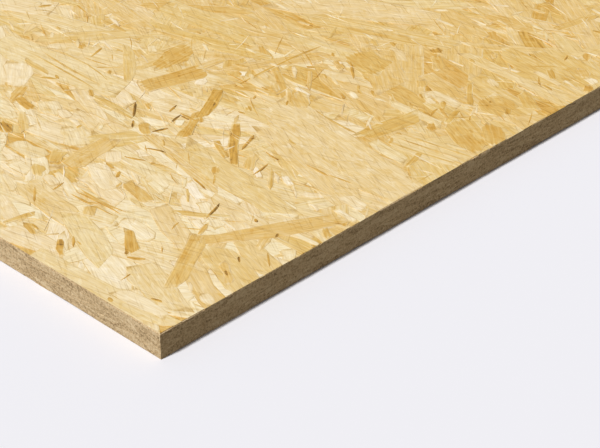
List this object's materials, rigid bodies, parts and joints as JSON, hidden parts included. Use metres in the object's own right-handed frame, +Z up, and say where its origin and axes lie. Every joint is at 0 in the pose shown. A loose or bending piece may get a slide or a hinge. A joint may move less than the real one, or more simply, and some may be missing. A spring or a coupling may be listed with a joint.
{
  "type": "osb panel",
  "caption": "Flat rectangular oriented strand board sheet with square-sawn edges, pressed from overlapping wood strands, for sheathing, decking and flooring.",
  "frame": {"origin": "centre of the sheet's underside", "axes": "+X along the length, which is the way the face strands mostly lie, +Y across the width, +Z up through the thickness"},
  "size_m": [2.44, 1.22, 0.018],
  "materials": {
    "osb": "matte pressed softwood strands"
  },
  "bodies": {
    "root": {"osb_panel": "osb"}
  },
  "joints": []
}
